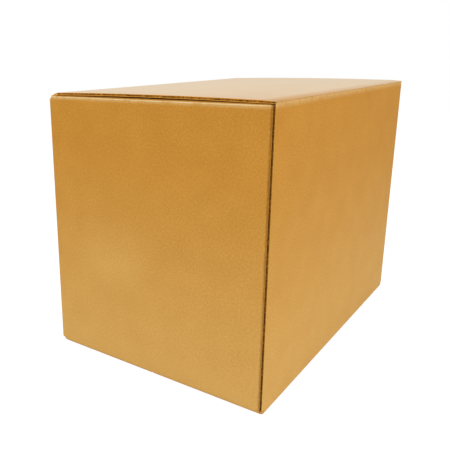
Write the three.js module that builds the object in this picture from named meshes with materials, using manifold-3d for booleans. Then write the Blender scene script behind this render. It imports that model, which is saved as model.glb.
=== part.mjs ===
import * as THREE from 'three';
import { mergeVertices } from 'three/addons/utils/BufferGeometryUtils.js';
import Module from 'manifold-3d';

const wasm = await Module();
wasm.setup();

// A shipping carton of single-wall corrugated board, in millimetres, +Z up.
// It stands on its outer bottom flaps, with its origin at the middle of the base.
// Front is -Y, the lid's crease is along the top of the right (+X) wall.

// Outside of the closed carton
const width = 400;
const depth = 600;
const height = 450;

// Corrugated board, flutes upright in the walls
const board = 4;
const liner = 0.6;
const medium = 0.5;
const flutePitch = 7.9;
const fluteCrest = 1.8;
const fluteDepth = 2.4;
const foldRadius = 6;
const arcSteps = 6;

// Lid and tuck flap
const lidBow = 1.7;
const creasePinch = 2.3;
const pinchRun = 28;
const tuckPinchRun = 18;
const lidSetback = 2;
const tuckDepth = 55;
const tuckLean = 5;
const tuckSetback = 7;
const tuckCornerRadius = 18;
const openingClearance = 0.3;

// Dust flaps on the front and back walls
const dustFlapLength = 150;
const dustFlapTaper = 14;
const dustFlapTuckSetback = 19;
const dustFlapHingeSetback = 12;

// Bottom flaps, all as long as half the width
const slotSetback = 8;
const seamGap = 1.5;
const gluePress = 0.1;

// Glue tab behind the right wall
const tabLength = 36;
const tabEndSetback = 14;
const tabTaper = 10;
const tabFoldOpen = Math.PI / 9;

// Levels and faces worked out from the sizes above
const right = width / 2;
const back = depth / 2;
const panelTop = height - lidBow;
const panelUnder = panelTop - board;
const dustTop = panelUnder - openingClearance;
const creaseTop = panelTop - creasePinch;
const leftWallTop = creaseTop - foldRadius;
const tubeTop = dustTop - foldRadius;
const tubeBottom = board + foldRadius;
const bend = foldRadius - board;
const tuckFace = -right + board + openingClearance;
const tuckTop = tuckFace + foldRadius;
const mitreGap = openingClearance / Math.SQRT2;
const inner = right - board;

function toSolid(geometry) {
  geometry.deleteAttribute('normal');
  geometry.deleteAttribute('uv');
  const merged = mergeVertices(geometry, 1e-4);
  return new wasm.Manifold(new wasm.Mesh({
    numProp: 3,
    vertProperties: new Float32Array(merged.attributes.position.array),
    triVerts: new Uint32Array(merged.index.array),
  }));
}

function toMesh(name, solid, material) {
  const data = solid.getMesh();
  const geometry = new THREE.BufferGeometry();
  geometry.setAttribute('position', new THREE.BufferAttribute(data.vertProperties, 3));
  geometry.setIndex(new THREE.BufferAttribute(data.triVerts, 1));
  geometry.computeVertexNormals();
  const mesh = new THREE.Mesh(geometry, material);
  mesh.name = name;
  return mesh;
}

function extrude(shape, length, basis, offset) {
  const options = { depth: length, bevelEnabled: false, curveSegments: arcSteps };
  const geometry = new THREE.ExtrudeGeometry(shape, options);
  geometry.applyMatrix4(basis);
  geometry.translate(...offset);
  return toSolid(geometry);
}

// A plan (x, y) drawn out upwards
function upright(shape, z0, z1) {
  return extrude(shape, z1 - z0, new THREE.Matrix4(), [0, 0, z0]);
}

// A section (x, z) drawn out along Y
function alongY(shape, y0, y1) {
  const basis = new THREE.Matrix4().makeRotationX(Math.PI / 2);
  return extrude(shape, y1 - y0, basis, [0, y1, 0]);
}

// A section (y, z) drawn out along X
function alongX(shape, x0, x1) {
  const axes = [new THREE.Vector3(0, 1, 0), new THREE.Vector3(0, 0, 1), new THREE.Vector3(1, 0, 0)];
  const basis = new THREE.Matrix4().makeBasis(...axes);
  return extrude(shape, x1 - x0, basis, [x0, 0, 0]);
}

function polygon(points) {
  return new THREE.Shape(points.map(([u, v]) => new THREE.Vector2(u, v)));
}

function union(solids) {
  return solids.reduce((whole, solid) => whole.add(solid));
}

// Section of a wall that folds over into a flap. The wall's outer face is at face and runs from
// wallEnd to the fold. The flap's outer face is at level and runs inwards to flapEnd.
function foldedEdge(face, level, wallEnd, flapEnd) {
  const inward = -Math.sign(face);
  const toWall = Math.sign(wallEnd - level);
  const centre = [face + inward * foldRadius, level + toWall * foldRadius];
  const arc = (radius) => Array.from({ length: arcSteps + 1 }, (_, i) => {
    const angle = (Math.PI / 2) * (i / arcSteps);
    return [
      centre[0] - inward * radius * Math.cos(angle),
      centre[1] - toWall * radius * Math.sin(angle),
    ];
  });
  return polygon([
    [face, wallEnd],
    ...arc(foldRadius),
    [flapEnd, level],
    [flapEnd, level + toWall * board],
    ...arc(bend).reverse(),
    [face + inward * board, wallEnd],
  ]);
}

// Open flutes across a cut edge of the board, which lies between low and high and runs from
// start to end. The medium waves from liner to liner and leaves a trapezium on each side in turn.
function cutFlutes(start, end, low, high, place) {
  const half = flutePitch / 2;
  const rise = high - low - 2 * liner;
  const run = half - fluteCrest;
  const gap = (medium / 2) * Math.hypot(1, run / rise);
  const wide = half - fluteCrest / 2 - gap;
  const narrow = fluteCrest / 2 + run * (medium / rise) - gap;
  const count = Math.floor((end - start) / half) - 1;
  const first = (start + end - (count - 1) * half) / 2;
  return Array.from({ length: count }, (_, i) => {
    const middle = first + i * half;
    const near = i % 2 ? low + liner : high - liner;
    const far = i % 2 ? high - liner - medium : low + liner + medium;
    return polygon([
      place(middle - wide, near),
      place(middle + wide, near),
      place(middle + narrow, far),
      place(middle - narrow, far),
    ]);
  });
}

// The flute along the raw edge of the joint. A cubic reaches three quarters of the way to its
// two control points.
function jointFlute(shape) {
  const reach = -back + (fluteDepth * 4) / 3;
  shape.bezierCurveTo(inner + liner, reach, right - liner, reach, right - liner, -back);
}

// Plan of the glued tube: three rounded folds, and at the front right the manufacturer's joint,
// where the right wall's raw edge covers the fold of the tab. A flute lies open along that edge.
function tubePlan() {
  const plan = new THREE.Shape();
  plan.moveTo(right, -back);
  plan.lineTo(right, back - foldRadius);
  plan.absarc(right - foldRadius, back - foldRadius, foldRadius, 0, Math.PI / 2);
  plan.lineTo(-right + foldRadius, back);
  plan.absarc(-right + foldRadius, back - foldRadius, foldRadius, Math.PI / 2, Math.PI);
  plan.lineTo(-right, -back + foldRadius);
  plan.absarc(-right + foldRadius, -back + foldRadius, foldRadius, Math.PI, 1.5 * Math.PI);
  plan.lineTo(inner - foldRadius, -back);
  plan.absarc(inner - foldRadius, -back + foldRadius, foldRadius, -Math.PI / 2, -tabFoldOpen);
  plan.lineTo(inner, -back + foldRadius * (1 - Math.sin(tabFoldOpen)));
  plan.lineTo(inner, -back);
  plan.lineTo(inner + liner, -back);
  jointFlute(plan);
  plan.closePath();

  const room = new THREE.Path();
  room.moveTo(inner, -back + board);
  room.lineTo(-inner + bend, -back + board);
  room.absarc(-inner + bend, -back + board + bend, bend, 1.5 * Math.PI, Math.PI, true);
  room.lineTo(-inner, back - board - bend);
  room.absarc(-inner + bend, back - board - bend, bend, Math.PI, Math.PI / 2, true);
  room.lineTo(inner - bend, back - board);
  room.absarc(inner - bend, back - board - bend, bend, Math.PI / 2, 0, true);
  room.closePath();
  plan.holes.push(room);
  return plan;
}

function glueTab() {
  const root = -back + board - gluePress;
  const tip = -back + tabLength;
  const low = tubeBottom + tabEndSetback;
  const high = tubeTop - tabEndSetback;
  const shape = polygon([
    [root, tubeBottom],
    [root + board, tubeBottom],
    [tip, low + tabTaper],
    [tip, high - tabTaper],
    [root + board, tubeTop],
    [root, tubeTop],
  ]);
  return alongX(shape, right - 2 * board, right - board + gluePress);
}

// Top of the front or back wall with its dust flap, cut narrower beside the tuck flap
function dustFlap(side) {
  const face = side * back;
  const tip = face - side * dustFlapLength;
  const lip = (foldRadius + tuckSetback) / 2;
  const fold = foldedEdge(face, dustTop, tubeTop - board, face - side * lip);
  const foldStart = -right + foldRadius;
  const foldEnd = right - board - foldRadius;
  const root = face - side * foldRadius;
  const shoulder = root - side * dustFlapTaper;
  const flapLeft = -right + dustFlapTuckSetback;
  const flapRight = right - dustFlapHingeSetback;
  const plan = polygon([
    [flapLeft, root],
    [flapRight, root],
    [flapRight, shoulder],
    [flapRight - dustFlapTaper, tip],
    [flapLeft + dustFlapTaper, tip],
    [flapLeft, shoulder],
  ]);
  const cut = cutFlutes(flapLeft + dustFlapTaper, flapRight - dustFlapTaper, dustTop - board, dustTop,
    (along, across) => [along, across]);
  const inside = tip + side * fluteDepth;
  const outside = tip - side * liner;
  const flutes = alongY(cut, Math.min(inside, outside), Math.max(inside, outside));
  return upright(plan, dustTop - board, dustTop).subtract(flutes).add(alongX(fold, foldStart, foldEnd));
}

// Short inner flap folded in from the foot of the front or back wall
function innerBottomFlap(side) {
  const face = side * back;
  const section = foldedEdge(face, board - gluePress, tubeBottom + board, face - side * right);
  return alongX(section, -right + slotSetback, right - slotSetback);
}

// Long outer flap folded in from the foot of a side wall, up to the seam in the middle
function outerBottomFlap(side) {
  const section = foldedEdge(side * right, 0, tubeBottom + board, side * seamGap / 2);
  return alongY(section, -back + slotSetback, back - slotSetback);
}

function leftWallRim() {
  const section = polygon([
    [-right, tubeTop - board],
    [-right + board, tubeTop - board],
    [-right + board, leftWallTop],
    [-right, leftWallTop],
  ]);
  const end = back - foldRadius;
  const cut = cutFlutes(-end, end, -right, -inner, (along, across) => [across, along]);
  const flutes = upright(cut, leftWallTop - fluteDepth, leftWallTop + liner);
  return alongY(section, -end, end).subtract(flutes);
}

// The right wall runs up to the lid's crease, mitred so that the lid can swing over and outwards
function rightWallRim() {
  const section = polygon([
    [right, tubeTop - board],
    [right, creaseTop - mitreGap],
    [right - board, creaseTop - mitreGap - board],
    [right - board, tubeTop - board],
  ]);
  const rim = alongY(section, -back, back - foldRadius);
  const channel = new THREE.Shape();
  channel.moveTo(inner + liner, -back - liner);
  channel.lineTo(inner + liner, -back);
  jointFlute(channel);
  channel.lineTo(right - liner, -back - liner);
  return rim.subtract(upright(channel, tubeTop - 2 * board, creaseTop));
}

function cartonBody() {
  return union([
    upright(tubePlan(), tubeBottom, tubeTop),
    glueTab(),
    dustFlap(-1),
    dustFlap(1),
    innerBottomFlap(-1),
    innerBottomFlap(1),
    outerBottomFlap(-1),
    outerBottomFlap(1),
    leftWallRim(),
    rightWallRim(),
  ]);
}

// Upper face of the top panel from the crease to the tuck fold, rising out of the pinched creases
// and bowed a little over the dust flaps
function panelUpper(shape, drop) {
  shape.moveTo(right - mitreGap, creaseTop - drop);
  shape.quadraticCurveTo(right - pinchRun / 2, panelTop - drop, right - pinchRun, panelTop - drop);
  shape.quadraticCurveTo(0, panelTop + 2 * lidBow - drop, -right + pinchRun, panelTop - drop);
  shape.quadraticCurveTo(tuckTop + tuckPinchRun / 2, panelTop - drop, tuckTop, creaseTop - drop);
}

// Under face of the top panel, back from the tuck fold to the crease
function panelLower(shape, lift) {
  const under = panelUnder + lift;
  shape.quadraticCurveTo(tuckTop + bend, under, tuckTop + foldRadius, under);
  shape.lineTo(-right + pinchRun, under);
  shape.quadraticCurveTo(0, under + 2 * lidBow, right - pinchRun, under);
  shape.lineTo(right - mitreGap - (creaseTop - under), under);
}

// Section of the whole lid, with the tuck flap leaning inwards so that it swings clear of the wall
function lidSection() {
  const tip = leftWallTop - tuckDepth;
  const shape = new THREE.Shape();
  panelUpper(shape, 0);
  shape.absarc(tuckTop, leftWallTop, foldRadius, Math.PI / 2, Math.PI);
  shape.lineTo(tuckFace + tuckLean, tip);
  shape.lineTo(tuckFace + tuckLean + board, tip);
  shape.lineTo(tuckFace + board, leftWallTop);
  shape.absarc(tuckTop, leftWallTop, bend, Math.PI, Math.PI / 2, true);
  panelLower(shape, 0);
  shape.closePath();
  return shape;
}

// The flute that lies open in the cut front and back ends of the top panel
function endFlute(side) {
  const shape = new THREE.Shape();
  panelUpper(shape, liner);
  shape.lineTo(tuckTop, creaseTop - board + liner);
  panelLower(shape, liner);
  shape.closePath();
  const end = side * (back - lidSetback);
  const inner = end - side * fluteDepth;
  const outer = end + side * liner;
  const reach = polygon([
    [tuckTop + foldRadius + board, leftWallTop],
    [right - foldRadius, leftWallTop],
    [right - foldRadius, height],
    [tuckTop + foldRadius + board, height],
  ]);
  const y = [Math.min(inner, outer), Math.max(inner, outer)];
  return alongY(shape, ...y).intersect(alongY(reach, ...y));
}

// What is cut away beside the tuck flap: a slot next to the wall and the flap's rounded corner
function tuckCorner(side) {
  const edge = side * (back - tuckSetback);
  const out = side * (back + board);
  const tip = leftWallTop - tuckDepth;
  const shape = new THREE.Shape();
  shape.moveTo(out, height + board);
  shape.lineTo(edge, height + board);
  shape.lineTo(edge, tip + tuckCornerRadius);
  shape.quadraticCurveTo(edge, tip, edge - side * tuckCornerRadius, tip);
  shape.lineTo(edge - side * tuckCornerRadius, tip - board);
  shape.lineTo(out, tip - board);
  shape.closePath();
  return alongX(shape, -right - board, tuckTop + foldRadius);
}

function tuckFlutes() {
  const tip = leftWallTop - tuckDepth;
  const end = back - tuckSetback - tuckCornerRadius;
  const low = tuckFace + tuckLean;
  const cut = cutFlutes(-end, end, low, low + board, (along, across) => [across, along]);
  return upright(cut, tip - liner, tip + fluteDepth);
}

function lid() {
  const end = back - lidSetback;
  let solid = alongY(lidSection(), -end, end).subtract(tuckFlutes());
  for (const side of [-1, 1]) {
    solid = solid.subtract(endFlute(side)).subtract(tuckCorner(side));
  }
  return solid;
}

const kraft = { color: 0xcf9b4f, roughness: 0.85, metalness: 0 };
const carton = new THREE.Group();
carton.add(toMesh('carton_body', cartonBody(), new THREE.MeshStandardMaterial(kraft)));
carton.add(toMesh('lid', lid(), new THREE.MeshStandardMaterial(kraft)));

export default carton;
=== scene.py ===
import math

import bmesh
import bpy
from mathutils import Matrix, Vector


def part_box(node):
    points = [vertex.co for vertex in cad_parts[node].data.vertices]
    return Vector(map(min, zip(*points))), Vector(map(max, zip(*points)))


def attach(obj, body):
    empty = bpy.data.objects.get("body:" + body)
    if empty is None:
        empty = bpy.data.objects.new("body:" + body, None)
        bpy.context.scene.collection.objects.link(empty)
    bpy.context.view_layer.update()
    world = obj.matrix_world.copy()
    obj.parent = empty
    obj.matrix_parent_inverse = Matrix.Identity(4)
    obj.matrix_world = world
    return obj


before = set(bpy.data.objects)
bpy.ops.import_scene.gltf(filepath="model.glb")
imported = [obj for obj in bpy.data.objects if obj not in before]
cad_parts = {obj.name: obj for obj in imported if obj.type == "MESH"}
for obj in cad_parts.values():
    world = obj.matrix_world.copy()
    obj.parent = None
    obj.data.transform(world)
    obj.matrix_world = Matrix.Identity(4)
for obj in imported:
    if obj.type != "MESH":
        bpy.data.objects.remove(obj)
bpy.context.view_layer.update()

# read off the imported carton, in metres as everything below
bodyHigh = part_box("carton_body")[1]
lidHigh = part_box("lid")[1]
halfWidth = bodyHigh.x
halfDepth = bodyHigh.y
print("frame loaded, carton", round(halfWidth * 2, 3), round(halfDepth * 2, 3), round(lidHigh.z, 3))

# as in the part's source
boardSettings = {
    "flutePitch": 0.0079,
    "foldRadius": 0.006,
}

white = (1, 1, 1, 1)


# camera, at the photograph's viewing angle

cameraSettings = {
    "position": (0.5003, -0.9637, 0.5039),
    "right": (0.7963, 0.60472, -0.01495),
    "forward": (-0.58573, 0.76466, -0.26874),
    "sensor": 36,
    "lens": 45.66,
    "shift": (0.1822, -0.0229),
}


def makeCamera(settings):
    forward = Vector(settings["forward"]).normalized()
    right = Vector(settings["right"])
    right = (right - forward * right.dot(forward)).normalized()
    up = right.cross(forward)
    turn = Matrix((right, up, -forward)).transposed().to_4x4()
    data = bpy.data.cameras.new("photoCamera")
    data.sensor_width = settings["sensor"]
    data.lens = settings["lens"]
    data.shift_x, data.shift_y = settings["shift"]
    camera = bpy.data.objects.new("photoCamera", data)
    camera.matrix_world = Matrix.Translation(settings["position"]) @ turn
    bpy.context.scene.collection.objects.link(camera)
    bpy.context.scene.camera = camera


lampSettings = {
    "aim": (0, 0, 0.2),
    "lamps": [
        # name, place, width and power
        ("overhead", (0.1, -0.3, 2.4), 2.2, 19),
        ("frontLeft", (-0.6, -2.6, 1.5), 1.6, 23.5),
        ("frontRight", (2.7, -0.5, 1.3), 1.6, 32),
    ],
}


def makeLamps(settings):
    aim = Vector(settings["aim"])
    for name, place, width, power in settings["lamps"]:
        data = bpy.data.lights.new(name, "AREA")
        data.shape = "DISK"
        data.size = width
        data.energy = power
        lamp = bpy.data.objects.new(name, data)
        lamp.location = place
        lamp.rotation_euler = (aim - Vector(place)).to_track_quat("-Z", "Y").to_euler()
        bpy.context.scene.collection.objects.link(lamp)


# shorthands for nodes: a term is a number or another node's output

def addNode(tree, kind, inputs=None, **values):
    node = tree.nodes.new(kind)
    for key, value in values.items():
        setattr(node, key, value)
    for key, value in (inputs or {}).items():
        socket = node.inputs[key]
        if isinstance(value, bpy.types.NodeSocket):
            tree.links.new(value, socket)
        else:
            socket.default_value = value
    return node


def combine(tree, operation, *terms):
    return addNode(tree, "ShaderNodeMath", dict(enumerate(terms)), operation=operation).outputs[0]


def multiply(tree, *terms):
    result = terms[0]
    for term in terms[1:]:
        result = combine(tree, "MULTIPLY", result, term)
    return result


def largest(tree, *terms):
    result = terms[0]
    for term in terms[1:]:
        result = combine(tree, "MAXIMUM", result, term)
    return result


def absolute(tree, term):
    return combine(tree, "ABSOLUTE", term)


# a smooth step, which may also run downwards
def rise(tree, term, low, high, start=0.0, end=1.0):
    return addNode(tree, "ShaderNodeMapRange", {
        "Value": term, "From Min": low, "From Max": high, "To Min": start, "To Max": end},
        interpolation_type="SMOOTHSTEP").outputs[0]


def between(tree, term, low, high, soft):
    up = rise(tree, term, low - soft, low + soft)
    down = rise(tree, term, high + soft, high - soft)
    return multiply(tree, up, down)


def blend(tree, amount, under, over):
    return addNode(tree, "ShaderNodeMix", {"Factor": amount, "A": under, "B": over}).outputs[0]


def tint(tree, amount, under, over):
    colors = {"Factor": amount, 6: under, 7: over}
    return addNode(tree, "ShaderNodeMix", colors, data_type="RGBA").outputs[2]


def noise(tree, place, scale, detail, roughness=0.5):
    return addNode(tree, "ShaderNodeTexNoise", {
        "Vector": place, "Scale": scale, "Detail": detail, "Roughness": roughness}).outputs["Fac"]


# soft light from all round, a little stronger from beyond the carton

worldSettings = {
    "turn": (-0.5, 0.7),         # from behind the camera to beyond the carton
    "level": (0.42, 0.5),
    "mirroredTurn": (0.3, 0.85),
    "mirroredLevel": (0.35, 1.0),
    "seenLevel": 1.0,
}


def makeWorld(settings):
    world = bpy.data.worlds.new("studio")
    bpy.context.scene.world = world
    world.use_nodes = True
    tree = world.node_tree
    tree.nodes.clear()
    away = Vector(cameraSettings["forward"])
    away.z = 0
    away.normalize()
    direction = addNode(tree, "ShaderNodeTexCoord").outputs["Generated"]
    side = addNode(tree, "ShaderNodeVectorMath", {0: direction, 1: away},
                   operation="DOT_PRODUCT").outputs["Value"]
    level = rise(tree, side, *settings["turn"], *settings["level"])
    mirrored = rise(tree, side, *settings["mirroredTurn"], *settings["mirroredLevel"])
    rays = addNode(tree, "ShaderNodeLightPath").outputs
    strength = blend(tree, rays["Is Glossy Ray"], level, mirrored)
    strength = blend(tree, rays["Is Camera Ray"], strength, settings["seenLevel"])
    paper = addNode(tree, "ShaderNodeBackground", {"Color": white, "Strength": strength})
    end = addNode(tree, "ShaderNodeOutputWorld")
    tree.links.new(paper.outputs[0], end.inputs["Surface"])


floorSettings = {
    "size": 9.0,
    "color": (0.9, 0.9, 0.9, 1),
    "whiteness": 0.75,           # share of the glow in what the camera sees
    "glow": 1.22,
    "glowEnd": (0.015, 0.020),   # in from the carton's sides
}


def makeFloor(settings):
    mesh = bpy.data.meshes.new("floor")
    reach = settings["size"] / 2
    corners = [(-reach, -reach, 0), (reach, -reach, 0), (reach, reach, 0), (-reach, reach, 0)]
    mesh.from_pydata(corners, [], [(0, 1, 2, 3)])
    floor = bpy.data.objects.new("floor", mesh)
    bpy.context.scene.collection.objects.link(floor)
    material = bpy.data.materials.new("whitePaperSweep")
    material.use_nodes = True
    tree = material.node_tree
    tree.nodes.clear()
    matt = addNode(tree, "ShaderNodeBsdfDiffuse", {"Color": settings["color"]}).outputs[0]
    glow = addNode(tree, "ShaderNodeEmission", {
        "Color": white, "Strength": settings["glow"]}).outputs[0]
    rays = addNode(tree, "ShaderNodeLightPath").outputs["Is Camera Ray"]

    # no glow under the carton, so that its bottom seam stays dark with the lid open
    place = addNode(tree, "ShaderNodeTexCoord").outputs["Object"]
    spot = addNode(tree, "ShaderNodeSeparateXYZ", {0: place}).outputs
    outer, inner = settings["glowEnd"]
    across = rise(tree, absolute(tree, spot["X"]), halfWidth - outer, halfWidth - inner)
    along = rise(tree, absolute(tree, spot["Y"]), halfDepth - outer, halfDepth - inner)
    clear = combine(tree, "SUBTRACT", 1.0, multiply(tree, across, along))
    share = multiply(tree, rays, clear, settings["whiteness"])
    surface = addNode(tree, "ShaderNodeMixShader", {0: share, 1: matt, 2: glow}).outputs[0]
    end = addNode(tree, "ShaderNodeOutputMaterial")
    tree.links.new(surface, end.inputs["Surface"])
    mesh.materials.append(material)


makeCamera(cameraSettings)
makeLamps(lampSettings)
makeWorld(worldSettings)
makeFloor(floorSettings)
bpy.context.scene.view_settings.view_transform = "Standard"
print("camera, lamps and floor placed")


# kraft board

kraftSettings = {
    # colours
    "dark": (0.455, 0.183, 0.022, 1),
    "middle": (0.55, 0.248, 0.033, 1),
    "light": (0.65, 0.325, 0.056, 1),
    "paintedBounce": (0.68, 0.415, 0.12, 1),
    "paintedBounceLight": (0.80, 0.525, 0.18, 1),
    "paintedFoldHighlight": (0.78, 0.61, 0.31, 1),
    "raw": (0.78, 0.36, 0.045, 1),
    "fluteShade": (0.12, 0.050, 0.009, 1),
    "nookShade": (0.40, 0.165, 0.016, 1),
    # noises: scale, detail and roughness
    "mottle": (330, 3.0, 0.8),
    "cloud": (20, 4.0),
    "fibre": (1.0, 2.0),
    "speck": (520.0, 1.0),
    "foldHighlightNoise": (90.0, 3.0),
    "tear": (330.0, 2.0),
    "grain": (1500.0, 2.0),
    # pulp
    "fibreStretch": (1400, 1400, 420),
    "cloudShare": 0.2,
    "fibreShare": 0.25,
    "toneRange": (0.33, 0.67),
    "speckRange": (0.70, 0.78),
    "speckLevel": 0.4,
    # paler towards the floor as painted bounce light from the floor, and a painted highlight patch
    # low on the front wall
    "paintedBounceHeight": (0.46, -0.10),
    "paintedBouncePower": 1.2,
    "paintedBounceLevel": 0.7,
    "paintedPatchAcross": (-0.13, -0.02, 0.05),
    "paintedPatchUp": (0.15, 0.22, 0.05),
    "paintedPatchFacing": (-0.6, -0.9),
    "paintedPatchLevel": 0.2,
    # painted highlight on the folds, painted shade in the open flutes with torn bits, and painted
    # shade in nooks
    "foldHighlightNoiseRange": (0.1, 0.6),
    "tearFrom": {"kraftBody": 0.92, "kraftLid": 0.68},
    "tearTo": 0.40,
    "nookShadeReach": 0.0028,
    "nookShadeSamples": 6,
    "nookShadeRange": (0.75, 0.0),
    "nookShadeHeight": (0.010, 0.016),
    # surface
    "bumpDepth": 0.0002,
    "fluteBump": 0.06,
    "grainBump": 0.25,
    "roughness": 0.62,
    "roughnessSpread": 0.04,
    "mottleRange": (0.3, 0.7),
    "ior": 1.16,
    "sheenColor": (0.98, 0.955, 0.82, 1),
    "sheenRoughness": 0.35,
    "sheenRange": (0.83, 0.96),
    "sheen": 0.54,
}


# pulp mottle, slow clouds of tone and fine fibres
def pulpTone(tree, settings, place, mottle):
    cloud = noise(tree, place, *settings["cloud"])
    stretched = addNode(tree, "ShaderNodeVectorMath", {0: place, 1: settings["fibreStretch"]},
                        operation="MULTIPLY").outputs[0]
    fibre = noise(tree, stretched, *settings["fibre"])
    tone = blend(tree, settings["cloudShare"], mottle, cloud)
    return blend(tree, settings["fibreShare"], tone, fibre)


# paper with dark specks, painted paler towards the floor as bounce light from the floor, and a
# painted highlight patch on the body's front wall
def paperColor(tree, name, settings, place, spot, facing, tone):
    ramp = addNode(tree, "ShaderNodeValToRGB", {"Fac": tone})
    low, high = settings["toneRange"]
    bands = ramp.color_ramp.elements
    bands[0].position, bands[0].color = low, settings["dark"]
    bands[1].position, bands[1].color = high, settings["light"]
    bands.new((low + high) / 2).color = settings["middle"]
    speck = noise(tree, place, *settings["speck"])
    specks = multiply(tree, rise(tree, speck, *settings["speckRange"]), settings["speckLevel"])
    paper = tint(tree, specks, ramp.outputs["Color"], settings["dark"])
    # painted bounce light: the colour grows paler towards the floor
    foot = rise(tree, spot["Z"], *settings["paintedBounceHeight"])
    paintedLight = multiply(tree, combine(tree, "POWER", foot, settings["paintedBouncePower"]), settings["paintedBounceLevel"])
    # painted highlight: a paler patch low on the front wall
    if name == "kraftBody":
        paintedPatch = multiply(tree, between(tree, spot["X"], *settings["paintedPatchAcross"]),
                         between(tree, spot["Z"], *settings["paintedPatchUp"]),
                         rise(tree, facing["Y"], *settings["paintedPatchFacing"]), settings["paintedPatchLevel"])
        paintedLight = combine(tree, "ADD", paintedLight, paintedPatch)
    pale = tint(tree, rise(tree, tone, low, high), settings["paintedBounce"], settings["paintedBounceLight"])
    return tint(tree, paintedLight, paper, pale)


# painted highlight on the folds, raw cut edges with painted shade in their open flutes, and painted
# brown shade in nooks
def edgeColor(tree, name, settings, place, spot, facing, paper, findFolds, findEdges):
    foldHighlightNoise = noise(tree, place, *settings["foldHighlightNoise"])
    # painted highlight on the folds, broken up by noise
    paintedFoldHighlight = multiply(tree, findFolds(tree, spot, facing), rise(tree, foldHighlightNoise, *settings["foldHighlightNoiseRange"]))
    paper = tint(tree, paintedFoldHighlight, paper, settings["paintedFoldHighlight"])
    raw, flutes = findEdges(tree, spot, facing)
    paper = tint(tree, raw, paper, settings["raw"])
    tear = noise(tree, place, *settings["tear"])
    torn = rise(tree, tear, settings["tearFrom"][name], settings["tearTo"])
    # painted shade inside the open flutes, broken by torn bits of board
    paper = tint(tree, multiply(tree, flutes, torn), paper, settings["fluteShade"])
    # painted brown shade in nooks and crevices from ambient occlusion, kept off near the floor
    nookShade = addNode(tree, "ShaderNodeAmbientOcclusion", {"Distance": settings["nookShadeReach"]},
                   samples=settings["nookShadeSamples"]).outputs["AO"]
    nookShadeAmount = multiply(tree, rise(tree, nookShade, *settings["nookShadeRange"]),
                    rise(tree, spot["Z"], *settings["nookShadeHeight"]))
    return tint(tree, nookShadeAmount, paper, settings["nookShade"])


# paper grain, and the flutes showing faintly through the liner
def paperBump(tree, settings, place, spot, facing, fluteAxis):
    across = spot[fluteAxis] if fluteAxis else blend(
        tree, absolute(tree, facing["X"]), spot["X"], spot["Y"])
    wave = combine(tree, "SINE", multiply(tree, across, 2 * math.pi / boardSettings["flutePitch"]))
    flutes = addNode(tree, "ShaderNodeBump", {
        "Strength": settings["fluteBump"], "Distance": settings["bumpDepth"], "Height": wave})
    grain = noise(tree, place, *settings["grain"])
    return addNode(tree, "ShaderNodeBump", {
        "Strength": settings["grainBump"], "Distance": settings["bumpDepth"],
        "Height": grain, "Normal": flutes.outputs[0]}).outputs[0]


def kraftMaterial(name, settings, fluteAxis, findFolds, findEdges):
    material = bpy.data.materials.new(name)
    material.use_nodes = True
    tree = material.node_tree
    tree.nodes.clear()
    coords = addNode(tree, "ShaderNodeTexCoord").outputs
    place = coords["Object"]
    spot = addNode(tree, "ShaderNodeSeparateXYZ", {0: place}).outputs
    facing = addNode(tree, "ShaderNodeSeparateXYZ", {0: coords["Normal"]}).outputs
    mottle = noise(tree, place, *settings["mottle"])
    tone = pulpTone(tree, settings, place, mottle)
    paper = paperColor(tree, name, settings, place, spot, facing, tone)
    paper = edgeColor(tree, name, settings, place, spot, facing, paper, findFolds, findEdges)
    bump = paperBump(tree, settings, place, spot, facing, fluteAxis)
    low, high = settings["mottleRange"]
    rough = addNode(tree, "ShaderNodeMapRange", {
        "Value": mottle, "From Min": low, "From Max": high,
        "To Min": settings["roughness"] - settings["roughnessSpread"],
        "To Max": settings["roughness"] + settings["roughnessSpread"]}).outputs[0]
    matt = addNode(tree, "ShaderNodeBsdfPrincipled", {
        "Base Color": paper, "Roughness": rough, "IOR": settings["ior"], "Normal": bump}).outputs[0]

    # the smooth liner shines at a glancing view
    sheen = addNode(tree, "ShaderNodeBsdfAnisotropic", {
        "Color": settings["sheenColor"], "Roughness": settings["sheenRoughness"],
        "Normal": bump}).outputs[0]
    glancing = addNode(tree, "ShaderNodeLayerWeight").outputs["Facing"]
    share = multiply(tree, rise(tree, glancing, *settings["sheenRange"]), settings["sheen"])
    surface = addNode(tree, "ShaderNodeMixShader", {0: share, 1: matt, 2: sheen}).outputs[0]
    end = addNode(tree, "ShaderNodeOutputMaterial")
    tree.links.new(surface, end.inputs["Surface"])
    return material


# painted highlight along the body's folds, where light catches the rounded liner

bodyFoldMarks = {
    "wall": (0.2930, 0.2935),                # y of the front and back walls
    "joint": (0.1955, 0.1940),               # x, short of the glued joint
    "upward": (-0.1, 0.2),
    "brightBand": (0.4406, 0.4420, 0.0004),  # z
    "softBand": (0.4375, 0.4425, 0.0020),
    "crease": (0.1985, 0.1995),              # x of the right wall, under the lid's crease
    "creaseBand": (0.4350, 0.4450),
    "bright": 0.95,
    "soft": 0.28,
    "creased": 0.35,
}


def bodyFolds(tree, spot, facing):
    marks = bodyFoldMarks
    # painted highlight: a bright band on the upward fold of the front and back walls, a soft band
    # round it, and a pale band on the right wall under the lid's crease
    fold = multiply(tree, rise(tree, absolute(tree, spot["Y"]), *marks["wall"]),
                    rise(tree, spot["X"], *marks["joint"]))
    bright = multiply(tree, fold, rise(tree, facing["Z"], *marks["upward"]),
                      between(tree, spot["Z"], *marks["brightBand"]), marks["bright"])
    soft = multiply(tree, fold, between(tree, spot["Z"], *marks["softBand"]), marks["soft"])
    creased = multiply(tree, rise(tree, spot["X"], *marks["crease"]),
                       rise(tree, spot["Z"], *marks["creaseBand"]), marks["creased"])
    return largest(tree, bright, creased, soft)


lidFoldMarks = {
    "tuckFold": (-0.1915, -0.1935),          # x
    "sloping": (0.1, 0.5),
    "level": (0.95, 0.7),
    "paintedFoldHighlight": 0.5,
}


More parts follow.
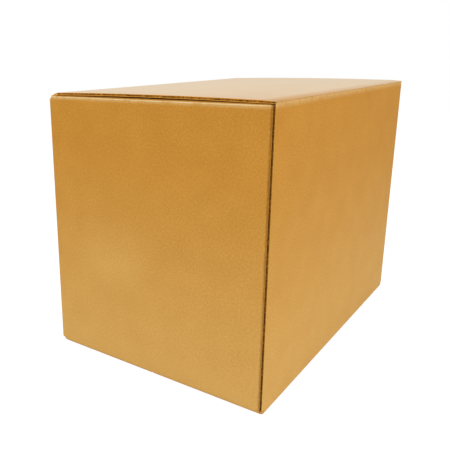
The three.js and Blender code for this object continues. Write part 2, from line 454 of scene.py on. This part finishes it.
def lidFolds(tree, spot, facing):
    marks = lidFoldMarks
    # painted highlight on the sloping part of the lid's tuck fold
    slope = multiply(tree, rise(tree, facing["Z"], *marks["sloping"]),
                     rise(tree, facing["Z"], *marks["level"]))
    return multiply(tree, rise(tree, spot["X"], *marks["tuckFold"]), slope, marks["paintedFoldHighlight"])


# cut edges of the board, and the flutes that lie open in them, painted dark as their shade

bodyEdgeMarks = {
    "square": (0.6, 0.9),                    # how squarely a cut edge has to face
    "front": (-0.2955, -0.2965),             # y
    "seam": (0.1964, 0.1997, 0.00015),       # x of the open flute along the glued joint, painted dark as its shade
    "joint": (0.1955, 0.1960),               # x
    "jointFacing": (-0.5, -0.8),
    "rim": (-0.1950, -0.1955),               # x of the left wall's rim
    "rimBand": (0.4385, 0.4402, 0.0002),     # z
    "flapTop": (0.4385, 0.4392),             # z of the dust flaps' sides
    "flapSide": (0.1985, 0.1975),            # x
    "flapTip": (0.20, 0.19),                 # y
}


def bodyEdges(tree, spot, facing):
    marks = bodyEdgeMarks
    front = rise(tree, spot["Y"], *marks["front"])
    # the open flute along the glued joint, where shade is painted dark
    seam = multiply(tree, front, between(tree, spot["X"], *marks["seam"]))
    joint = multiply(tree, front, rise(tree, spot["X"], *marks["joint"]),
                     rise(tree, facing["Y"], *marks["jointFacing"]))
    rim = multiply(tree, rise(tree, facing["Z"], *marks["square"]),
                   rise(tree, spot["X"], *marks["rim"]),
                   between(tree, spot["Z"], *marks["rimBand"]))
    flapSide = multiply(tree, rise(tree, absolute(tree, facing["X"]), *marks["square"]),
                        rise(tree, spot["Z"], *marks["flapTop"]),
                        rise(tree, absolute(tree, spot["X"]), *marks["flapSide"]))
    flapTip = multiply(tree, rise(tree, absolute(tree, facing["Y"]), *marks["square"]),
                       rise(tree, absolute(tree, spot["Y"]), *marks["flapTip"]))
    return largest(tree, joint, rim, flapSide, flapTip), seam


lidEdgeMarks = {
    "square": (0.6, 0.9),
    "bow": 0.0017,                           # rise of the panel's middle
    "bowReach": 0.172,
    "end": (0.2935, 0.2945),                 # y of the front and back ends
    "fadeIn": (-0.192, -0.165),              # x
    "crushed": (-0.032, -0.048),             # x where the painted shade of the open flute steps up a little
    "crush": 0.0004,
    "channel": (0.4450, 0.4468, 0.0003),     # z of the open flute painted dark as its shade, before the bow
}


def lidEdges(tree, spot, facing):
    marks = lidEdgeMarks
    across = combine(tree, "DIVIDE", absolute(tree, spot["X"]), marks["bowReach"])
    bow = addNode(tree, "ShaderNodeMath", {0: 1.0, 1: combine(tree, "POWER", across, 2.0)},
                  operation="SUBTRACT", use_clamp=True).outputs[0]
    height = combine(tree, "SUBTRACT", spot["Z"], multiply(tree, bow, marks["bow"]))
    crush = multiply(tree, rise(tree, spot["X"], *marks["crushed"]), marks["crush"])
    height = combine(tree, "SUBTRACT", height, crush)
    # the lid's open flute channel, where shade is painted dark
    channel = multiply(tree, rise(tree, absolute(tree, spot["Y"]), *marks["end"]),
                       rise(tree, spot["X"], *marks["fadeIn"]),
                       between(tree, height, *marks["channel"]))
    return rise(tree, absolute(tree, facing["Y"]), *marks["square"]), channel


bodyKraft = kraftMaterial("kraftBody", kraftSettings, None, bodyFolds, bodyEdges)
lidKraft = kraftMaterial("kraftLid", kraftSettings, "Y", lidFolds, lidEdges)

for node, material in (("carton_body", bodyKraft), ("lid", lidKraft)):
    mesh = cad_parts[node].data
    mesh.materials.clear()
    mesh.materials.append(material)
print("kraft on both nodes")


# the front and back folds carried on into the right corners, where the flaps' slots stop short

cornerSettings = {
    "start": 0.1875,
    "end": 0.1950,
    "bendStart": {"cornerFoldFront": 0.190, "cornerFoldBack": 0.194},
    "bendSlope": 0.35,
    "base": 0.4375,
    "foldStart": 0.438,
    "turn": math.radians(75),
    "inset": 0.00004,
    "thickness": 0.0006,
    "steps": 10,
}


def makeCornerFold(name, settings, side):
    radius = boardSettings["foldRadius"] - settings["inset"]
    steps = settings["steps"]
    rows = []
    shape = bmesh.new()
    for across in range(steps + 1):
        x = settings["start"] + (settings["end"] - settings["start"]) * across / steps
        past = max(0.0, x - settings["bendStart"][name])
        dip = radius - math.sqrt(radius * radius - past * past)
        face = halfDepth - settings["inset"] - dip
        row = [shape.verts.new((x, side * face, settings["base"]))]
        for up in range(steps + 1):
            angle = settings["turn"] * up / steps
            lift = math.sin(angle)
            y = face - radius * (1 - math.cos(angle))
            z = settings["foldStart"] + radius * lift - dip * settings["bendSlope"] * lift
            row.append(shape.verts.new((x, side * y, z)))
        rows.append(row)
    for first, second in zip(rows, rows[1:]):
        for corner in range(len(first) - 1):
            ring = (first[corner], second[corner], second[corner + 1], first[corner + 1])
            shape.faces.new(ring if side < 0 else ring[::-1])
    mesh = bpy.data.meshes.new(name)
    shape.to_mesh(mesh)
    shape.free()
    for polygon in mesh.polygons:
        polygon.use_smooth = True
    piece = bpy.data.objects.new(name, mesh)
    bpy.context.scene.collection.objects.link(piece)
    thick = piece.modifiers.new("liner", "SOLIDIFY")
    thick.thickness = settings["thickness"]
    thick.offset = -1
    mesh.materials.append(bodyKraft)
    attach(piece, "carton")


makeCornerFold("cornerFoldFront", cornerSettings, -1)
makeCornerFold("cornerFoldBack", cornerSettings, 1)
print("corner folds made")
